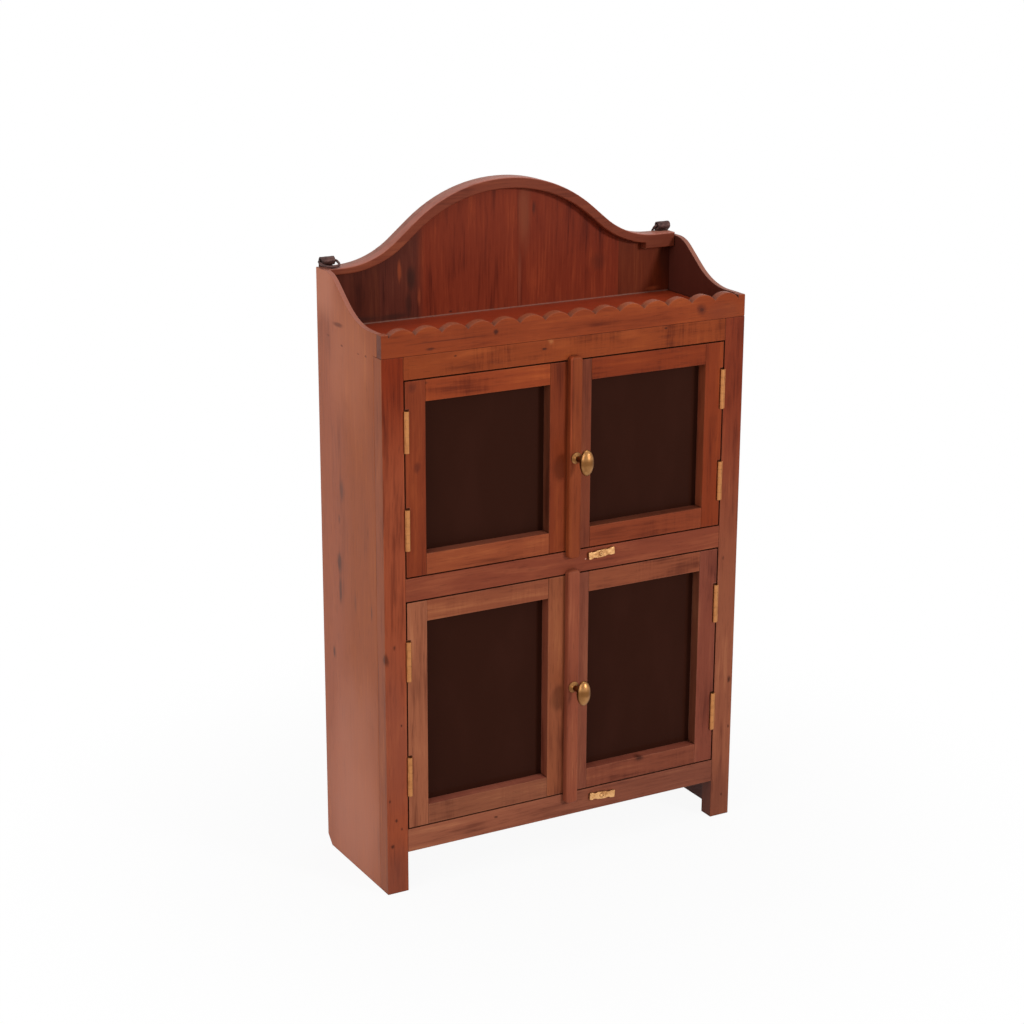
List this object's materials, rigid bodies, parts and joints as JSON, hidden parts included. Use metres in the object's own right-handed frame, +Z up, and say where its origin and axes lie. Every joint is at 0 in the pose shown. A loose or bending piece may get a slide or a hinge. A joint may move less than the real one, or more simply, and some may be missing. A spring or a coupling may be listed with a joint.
{
  "type": "wall display cabinet",
  "caption": "Small wooden wall display cabinet with glazed double doors in a face frame, an open gallery with scalloped rail and arched back, and rings to hang it by.",
  "frame": {"origin": "on the floor under the middle of the bounding box: middle of the width, and half-way between the knobs' fronts and the hanger screws' heads at the rear", "axes": "+Z up, the front of the cabinet faces -Y, +X towards the viewer's right"},
  "size_m": [0.38, 0.1708, 0.6375],
  "materials": {
    "carcase_wood": "red-brown stained hardwood, thin satin wax polish",
    "back_wood": "darker red-brown stained planks, satin",
    "upper_door_wood": "red-brown stained hardwood, satin",
    "lower_door_wood": "browner stained hardwood, satin",
    "window_glass": "dark brown tinted flat pane",
    "hinge_brass": "brushed brass, lightly dulled",
    "knob_brass": "aged antique brass",
    "button_brass": "rough sand-cast brass",
    "hanger_iron": "dark brown-black wrought iron, matte"
  },
  "bodies": {
    "root": {"back_plank_1": "back_wood", "back_plank_2": "back_wood", "back_plank_3": "back_wood", "back_plank_4": "back_wood", "bottom_board": "carcase_wood", "bottom_rail": "carcase_wood", "crest_strip": "carcase_wood", "divider_shelf": "carcase_wood", "frame_hinge_leaves": "hinge_brass", "frame_hinge_screws": "hinge_brass", "gallery_shelf": "carcase_wood", "hanger_screws": "hanger_iron", "hanger_straps": "hanger_iron", "hinge_pins": "hinge_brass", "left_side_panel": "carcase_wood", "left_stile": "carcase_wood", "middle_rail": "carcase_wood", "right_side_panel": "carcase_wood", "right_stile": "carcase_wood", "scalloped_rail": "carcase_wood", "top_rail": "carcase_wood", "turn_button_screws": "button_brass"},
    "upper_left_door": {"upper_left_bottom_rail": "upper_door_wood", "upper_left_glass": "window_glass", "upper_left_glazing_beads": "upper_door_wood", "upper_left_hinge_leaves": "hinge_brass", "upper_left_hinge_stile": "upper_door_wood", "upper_left_meeting_stile": "upper_door_wood", "upper_left_top_rail": "upper_door_wood"},
    "upper_right_door": {"upper_cover_strip": "upper_door_wood", "upper_knob": "knob_brass", "upper_right_bottom_rail": "upper_door_wood", "upper_right_glass": "window_glass", "upper_right_glazing_beads": "upper_door_wood", "upper_right_hinge_leaves": "hinge_brass", "upper_right_hinge_stile": "upper_door_wood", "upper_right_meeting_stile": "upper_door_wood", "upper_right_top_rail": "upper_door_wood"},
    "lower_left_door": {"lower_left_bottom_rail": "lower_door_wood", "lower_left_glass": "window_glass", "lower_left_glazing_beads": "lower_door_wood", "lower_left_hinge_leaves": "hinge_brass", "lower_left_hinge_stile": "lower_door_wood", "lower_left_meeting_stile": "lower_door_wood", "lower_left_top_rail": "lower_door_wood"},
    "lower_right_door": {"lower_cover_strip": "lower_door_wood", "lower_knob": "knob_brass", "lower_right_bottom_rail": "lower_door_wood", "lower_right_glass": "window_glass", "lower_right_glazing_beads": "lower_door_wood", "lower_right_hinge_leaves": "hinge_brass", "lower_right_hinge_stile": "lower_door_wood", "lower_right_meeting_stile": "lower_door_wood", "lower_right_top_rail": "lower_door_wood"},
    "upper_turn_button": {"upper_turn_button": "button_brass"},
    "lower_turn_button": {"lower_turn_button": "button_brass"},
    "left_hanger_ring": {"left_hanger_ring": "hanger_iron"},
    "right_hanger_ring": {"right_hanger_ring": "hanger_iron"}
  },
  "joints": [
    {"name": "upper_right_door_swing", "type": "hinge", "parent": "root", "child": "upper_right_door", "pos_m": [0.1662, -0.05581, 0.39685], "axis": [0, 0, 1], "range_deg": [0, 165]},
    {"name": "upper_left_door_swing", "type": "hinge", "parent": "root", "child": "upper_left_door", "pos_m": [-0.1662, -0.05581, 0.39685], "axis": [0, 0, 1], "range_deg": [-165, 0]},
    {"name": "lower_right_door_swing", "type": "hinge", "parent": "root", "child": "lower_right_door", "pos_m": [0.1662, -0.05581, 0.17285], "axis": [0, 0, 1], "range_deg": [0, 165]},
    {"name": "lower_left_door_swing", "type": "hinge", "parent": "root", "child": "lower_left_door", "pos_m": [-0.1662, -0.05581, 0.17285], "axis": [0, 0, 1], "range_deg": [-165, 0]},
    {"name": "upper_turn_button_pivot", "type": "hinge", "parent": "root", "child": "upper_turn_button", "pos_m": [0.0344, -0.05681, 0.2992], "axis": [0, 1, 0], "continuous": true},
    {"name": "lower_turn_button_pivot", "type": "hinge", "parent": "root", "child": "lower_turn_button", "pos_m": [0.0394, -0.05681, 0.0525], "axis": [0, 1, 0], "continuous": true},
    {"name": "left_hanger_ring_swing", "type": "hinge", "parent": "root", "child": "left_hanger_ring", "pos_m": [-0.17995, 0.07449, 0.573], "axis": [-1, 0, 0], "range_deg": [0, 240]},
    {"name": "right_hanger_ring_swing", "type": "hinge", "parent": "root", "child": "right_hanger_ring", "pos_m": [0.17995, 0.07449, 0.576], "axis": [1, 0, 0], "range_deg": [0, 240]}
  ],
  "couplings": [
    {"joint": "upper_left_door_swing", "follows": "upper_right_door_swing", "ratio": -1},
    {"joint": "lower_left_door_swing", "follows": "lower_right_door_swing", "ratio": -1}
  ]
}
